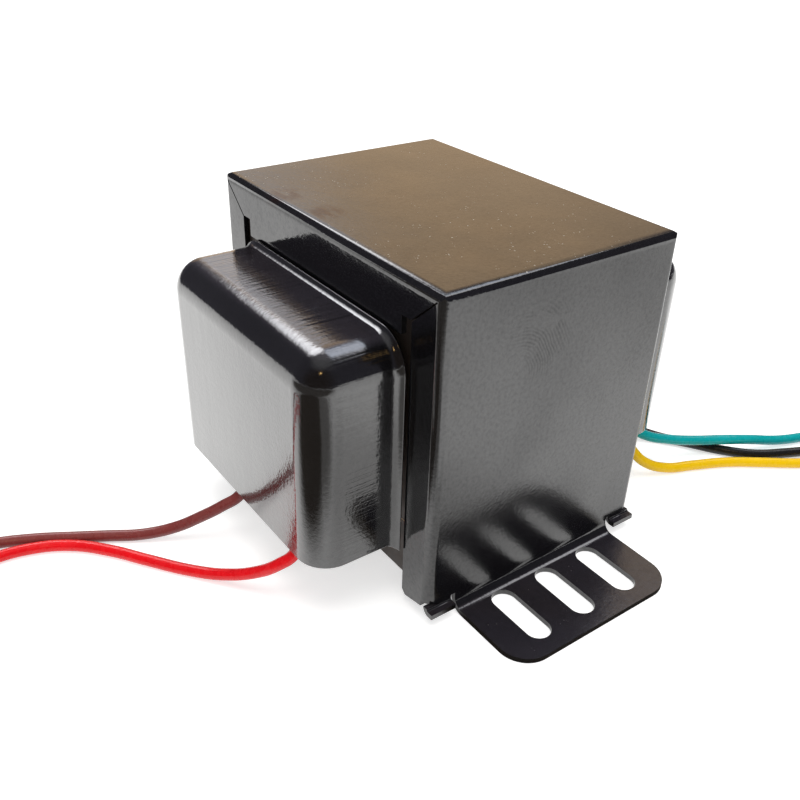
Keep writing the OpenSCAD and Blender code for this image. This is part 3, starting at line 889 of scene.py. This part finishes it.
@dataclass
class Wiring:
    """The five flying leads, each from inside its bell to its far end."""

    leads: tuple[Lead, ...] = (
        Lead("brown", (0.24, 0.05, 0.046), (
            (-4.5, -33.5, 24), (-4.5, -34.3, 24), (-4.5, -36.2, 23.6), (-4.5, -37.8, 22.5),
            (-4.5, -38.9, 20.9), (-4.5, -39.3, 19), (-4.3, -39.4, 15.7), (-4.1, -39.2, 12.7),
            (-4.3, -40.5, 10), (-5.5, -43.6, 8), (-7.9, -47, 5.4), (-10.9, -51.4, 2.7),
            (-14.1, -56.8, 1.3), (-17.7, -62.6, 1.1), (-20.7, -67.8, 1.1), (-24.3, -74.2, 1.1),
            (-27.1, -81, 1.1), (-28.5, -88.2, 1.1), (-28.1, -95.4, 1.1), (-25.5, -102.2, 1.1),
            (-21.1, -107.8, 1.1), (-15.3, -112, 1.1), (-8.5, -114.2, 1.1), (-1.5, -114.6, 1.1),
        )),
        Lead("red", (0.9, 0.004, 0.01), (
            (14.3, -33.5, 24), (14.3, -34.3, 24), (14.3, -36.2, 23.6), (14.3, -37.8, 22.5),
            (14.4, -38.9, 20.9), (14.7, -39.3, 19), (15.3, -39.4, 15.7), (15.8, -39.2, 12.7),
            (15.9, -40.4, 10), (14.5, -42.6, 7.8), (11.1, -45.2, 4.8), (5.9, -49, 2.2),
            (0.3, -53.2, 1.1), (-6.7, -58.6, 1.1), (-12.9, -63.2, 1.1), (-18.5, -68.8, 1.1),
            (-21.7, -75.2, 1.1), (-22.7, -82.4, 1.1), (-21.5, -89.4, 1.1), (-18.3, -96, 1.1),
            (-13.3, -101.2, 1.1), (-7.1, -104.6, 1.1), (-0.1, -106, 1.1),
        )),
        Lead("teal", (0.0, 0.4, 0.42), (
            (6, 33.5, 24), (6, 34.3, 24), (6, 36.2, 23.6), (6.2, 37.8, 22.5),
            (6.5, 38.9, 20.9), (7.1, 39.3, 19), (8.7, 39.4, 15.7), (10.8, 39.2, 12.7),
            (13.7, 40.6, 9.9), (17.2, 42.8, 7.7), (20.4, 45.8, 5.8), (22.9, 50.3, 4.6),
            (25.6, 55.8, 3.8), (28.9, 61.9, 3.6), (31.7, 68.4, 2.8), (34.3, 75.3, 1.6),
            (36.4, 82.2, 1.1), (38.4, 89.1, 1.1), (40.2, 96, 1.1), (41.8, 103, 1.1),
            (43.2, 110, 1.1), (44.4, 116, 1.1),
        )),
        Lead("black", (0.012, 0.012, 0.013), (
            (-4, 33.5, 24), (-4, 34.3, 24), (-4, 36.2, 23.6), (-3.8, 37.8, 22.5),
            (-3.5, 38.9, 20.9), (-2.9, 39.3, 19), (-1.3, 39.4, 15.7), (1.2, 39.2, 12.7),
            (4.5, 41.3, 9.5), (8.5, 44.8, 6.4), (12.8, 48.7, 3.4), (17.4, 53.3, 1.4),
            (23.3, 57.8, 1.1), (29.5, 61.9, 1.1), (34.6, 66.7, 1.1), (38.2, 73.1, 1.1),
            (41.2, 79.8, 1.1), (43.8, 86.5, 1.1), (46.2, 93.3, 1.1), (48.4, 100.1, 1.1),
            (50.4, 107, 1.1), (52.2, 113.9, 1.1),
        )),
        Lead("yellow", (1.0, 0.62, 0.0), (
            (15, 33.5, 24), (15, 34.3, 24), (15, 36.2, 23.6), (15, 37.8, 22.5),
            (15.2, 38.8, 20.9), (15.7, 39.1, 19), (17.2, 38.7, 15.7), (19.2, 37.9, 12.5),
            (21.2, 37.3, 9.2), (23.1, 38.5, 5.8), (25.1, 41.1, 3), (27.3, 45.4, 1.4),
            (29.6, 51.3, 1.1), (33.1, 58.8, 1.1), (37.5, 65.3, 1.1), (42, 71.6, 1.1),
            (45.7, 78, 1.1), (49, 84.7, 1.1), (52, 91.2, 1.1), (54.8, 97.8, 1.1),
            (57.4, 104.5, 1.1), (59.8, 111.2, 1.1),
        )),
    )

    def build(self) -> None:
        """Makes every lead with one tinned finish for their ends."""
        tin = TinnedCopper("tinned_wire").make()
        for lead in self.leads:
            lead.build(tin)


@dataclass
class Winding:
    """Core and coil, which stay as their CAD nodes and get their finishes."""

    finishes: tuple[tuple[Finish, tuple[str, ...]], ...] = (
        (LaminatedSteel("core_laminations"), ("e_stack", "i_stack")),
        (WoundCopper("wound_copper"), ("primary_inner", "secondary_winding", "primary_outer")),
        (FibrePaper("fibre_paper"), (
            "gap_paper", "interleave_inner", "interleave_outer", "front_joint_pad", "rear_joint_pad",
        )),
        (SmoothPlastic("bobbin_nylon", (0.66, 0.6, 0.46), 0.45), ("bobbin",)),
        (SmoothPlastic("coil_tape", (0.62, 0.42, 0.1), 0.3), ("outer_wrap",)),
    )

    def dress(self, frame: dict) -> None:
        """Assigns the finishes.
        """
        for finish, nodes in self.finishes:
            material = finish.make()
            for node in nodes:
                mesh = frame["nodes"][node].data
                mesh.materials.clear()
                mesh.materials.append(material)
                LOG.info("%s dressed in %s", node, material.name)


@dataclass(frozen=True)
class Lamp:
    """Soft square lamp."""

    name: str
    at: Point
    side: float
    power: float
    colour: Colour

    def build(self, target: Point) -> None:
        """Hangs the lamp so that it faces the part and stays out of its reflections.

        Args:
            target: Point that the lamp faces.
        """
        data = bpy.data.lights.new(self.name, "AREA")
        data.shape = "SQUARE"
        data.size = self.side * MM
        data.energy = self.power
        data.color = self.colour
        piece = bpy.data.objects.new(self.name, data)
        piece.location = metres(self.at)
        piece.rotation_mode = "QUATERNION"
        piece.rotation_quaternion = (metres(target) - metres(self.at)).to_track_quat("-Z", "Y")
        piece.visible_glossy = False
        bpy.context.scene.collection.objects.link(piece)


@dataclass(frozen=True)
class Patch:
    """Soft round patch of the room that gloss surfaces mirror, by its angles."""

    azimuth: float
    elevation: float
    inner: float
    outer: float
    colour: Colour

    def towards(self) -> Vector:
        """Gives the direction of the patch's middle."""
        a, e = math.radians(self.azimuth), math.radians(self.elevation)
        return Vector((math.cos(a) * math.cos(e), math.sin(a) * math.cos(e), math.sin(e)))

    def share(self, g: Graph) -> Socket:
        """Gives 1 within the patch and 0 outside it.

        Args:
            g: Nodes of the world.

        Returns:
            The factor socket.
        """
        outer, inner = (math.cos(math.radians(a)) for a in (self.outer, self.inner))
        return g.span(g.vector("DOT_PRODUCT", g.coords["Generated"], self.towards()), outer, inner)


@dataclass
class Studio:
    """Camera at the photograph's angle, soft lamps, white floor and world."""

    azimuth: float = 53.422
    elevation: float = 31.0331
    roll: float = 1.8349
    eye: Point = (121.063, -96.799, 112.672)
    lens: float = 40.2705
    sensor: float = 36.0
    clip: Span = (5.0, 50000.0)
    target: Point = (0.0, 0.0, 40.0)
    lamps: tuple[Lamp, ...] = (
        Lamp("overhead", (60.0, -40.0, 1000.0), 800.0, 6.5, (1.0, 0.98, 0.95)),
        Lamp("fill", (700.0, -700.0, 600.0), 500.0, 2.0, (0.95, 0.97, 1.0)),
    )
    sky: Colour = (0.5, 0.5, 0.5)
    room: Colour = (0.1, 0.095, 0.115)
    patches: tuple[Patch, ...] = (
        Patch(-51.0, 16.0, 20.0, 60.0, (0.06, 0.045, 0.035)),
        Patch(0.0, 90.0, 10.0, 40.0, (0.35, 0.35, 0.36)),
        Patch(118.0, 36.0, 6.0, 16.0, (0.75, 0.6, 0.45)),
        Patch(146.0, 20.0, 1.0, 32.0, (1.12, 0.8, 0.5)),
        Patch(157.0, 25.0, 5.0, 11.0, (1.1, 1.1, 1.16)),
        Patch(172.0, 51.0, 6.0, 20.0, (6.0, 6.0, 6.2)),
        Patch(114.0, 59.0, 8.0, 16.0, (2.6, 2.8, 3.2)),
        Patch(86.0, 54.0, 4.0, 10.0, (3.0, 3.0, 3.1)),
        Patch(-41.0, 47.0, 2.0, 4.5, (8.0, 5.0, 1.8)),
    )
    floor_half: float = 1600.0
    floor_drop: float = 0.1
    floor_white: Colour = (0.9, 0.9, 0.9)
    floor_glow: float = 0.55
    # Painted shadows on the floor that only reflections show: their colour and where they lie.
    painted_floor_shade: Colour = (0.06, 0.05, 0.04)
    painted_shades: tuple[Spot, ...] = (
        Spot((40.0, -105.0, 0.0), 35.0, 55.0),
        Spot((300.0, -700.0, 0.0), 610.0, 690.0, 0.95),
        Spot((75.0, -78.0, 0.0), 18.0, 45.0, 0.8),
        Spot((66.0, -22.0, 0.0), 12.0, 42.0, 0.35),
        Spot((140.0, 120.0, 0.0), 20.0, 95.0, 0.24),
    )
    # Painted contact shadow round each foot that only reflections show: the foot's middle, its core, and
    # where the shadow fades in and out.
    foot_middle: Point = (42.8, 0.0, 0.0)
    foot_core: Point = (3.3, 13.4, 1.0)
    contact_shadow_start: Span = (4.0, 5.0)
    contact_shadow_end: Span = (9.5, 6.5)

    def camera(self) -> None:
        """Makes the camera and gives it to the scene."""
        data = bpy.data.cameras.new("studio_camera")
        data.sensor_width = self.sensor
        data.lens = self.lens
        data.clip_start, data.clip_end = (distance * MM for distance in self.clip)
        camera = bpy.data.objects.new("studio_camera", data)
        bpy.context.scene.collection.objects.link(camera)
        a, e, r = (math.radians(x) for x in (self.azimuth, self.elevation, self.roll))
        back = Vector((math.sin(a) * math.cos(e), -math.cos(a) * math.cos(e), math.sin(e)))
        right = Vector((0.0, 0.0, 1.0)).cross(back).normalized()
        up = back.cross(right)
        x = math.cos(r) * right + math.sin(r) * up
        y = math.cos(r) * up - math.sin(r) * right
        turn = Matrix((x, y, back)).transposed().to_4x4()
        camera.matrix_world = Matrix.Translation(metres(self.eye)) @ turn
        bpy.context.scene.camera = camera

    def world(self) -> None:
        """Makes the world: soft grey light, a white background and a dim room in reflections."""
        world = bpy.data.worlds.new("studio_world")
        bpy.context.scene.world = world
        g = Graph(world, "Background")
        room = self.room
        for patch in self.patches:
            room = g.blend(patch.share(g), room, patch.colour)
        light = g.blend(g.rays("Camera"), self.sky, WHITE)
        light = g.blend(g.rays("Glossy"), light, room)
        light = g.blend(g.rays("Transmission"), light, WHITE)
        g.link(light, "Color")

    def floor(self) -> None:
        """Lays the white floor, which the camera sees white, which keeps the shadow and which shows painted
        shadows in reflections.
        """
        bm = bmesh.new()
        bmesh.ops.create_grid(bm, x_segments=1, y_segments=1, size=self.floor_half * MM)
        bmesh.ops.translate(bm, vec=metres((0.0, 0.0, -self.floor_drop)), verts=bm.verts)
        mesh = finish_mesh(bm, "studio_floor")
        material = bpy.data.materials.new("white_floor")
        g = Graph(material, "Principled BSDF")
        g.set(Roughness=0.9, Specular_IOR_Level=0.0)
        seen = g.calc("MAXIMUM", *(g.rays(kind) for kind in ("Camera", "Glossy", "Transmission")))
        g.link(g.calc("MULTIPLY", seen, self.floor_glow), "Emission Strength")
        # Painted shade on the floor, for gloss rays only.
        dim = g.calc("MULTIPLY", self._painted_shade_area(g), g.rays("Glossy"))
        g.link(g.blend(dim, self.floor_white, self.painted_floor_shade), "Base Color")
        g.link(g.blend(dim, WHITE, self.painted_floor_shade), "Emission Color")
        mesh.materials.append(material)
        floor = bpy.data.objects.new("studio_floor", mesh)
        bpy.context.scene.collection.objects.link(floor)

    def _painted_shade_area(self, g: Graph) -> Socket:
        """Gives the painted shadows of the floor that only reflections show: the painted shade areas and a
        painted contact shadow round each foot.

        Args:
            g: Nodes of the floor's material.

        Returns:
            The factor socket.
        """
        # Painted contact shadow: a ring round each foot.
        mirrored = g.vector("ABSOLUTE", g.place)
        beside = g.vector("ABSOLUTE", g.vector("SUBTRACT", mirrored, metres(self.foot_middle)))
        beside = g.vector("MAXIMUM", g.vector("SUBTRACT", beside, metres(self.foot_core)))
        away = g.vector("LENGTH", beside)
        fades = ((near * MM, far * MM) for near, far in (self.contact_shadow_start, self.contact_shadow_end))
        ring = g.calc("MULTIPLY", *(g.span(away, *fade) for fade in fades))
        return g.calc("MAXIMUM", ring, *(g.spot(shade) for shade in self.painted_shades))

    def build(self) -> None:
        """Makes the camera, the world, the floor and the lamps."""
        self.camera()
        self.world()
        self.floor()
        for lamp in self.lamps:
            lamp.build(self.target)


def main() -> None:
    """Builds the transformer's looks in order."""
    logging.basicConfig(level=logging.INFO, format="%(message)s")
    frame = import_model()
    bpy.context.scene.view_settings.view_transform = "Standard"
    Studio().build()
    Wiring().build()
    folded = GlossEnamel("folded_enamel").make()
    deep = GlossEnamel("drawn_enamel", Drawn.DEEP).make()
    ChannelFrame().build(frame, folded)
    Bell().build("front_cover", "front_bell", 0.0, deep)
    Bell().build("rear_cover", "rear_bell", 180.0, deep)
    Winding().dress(frame)


if __name__ == "__main__":
    main()
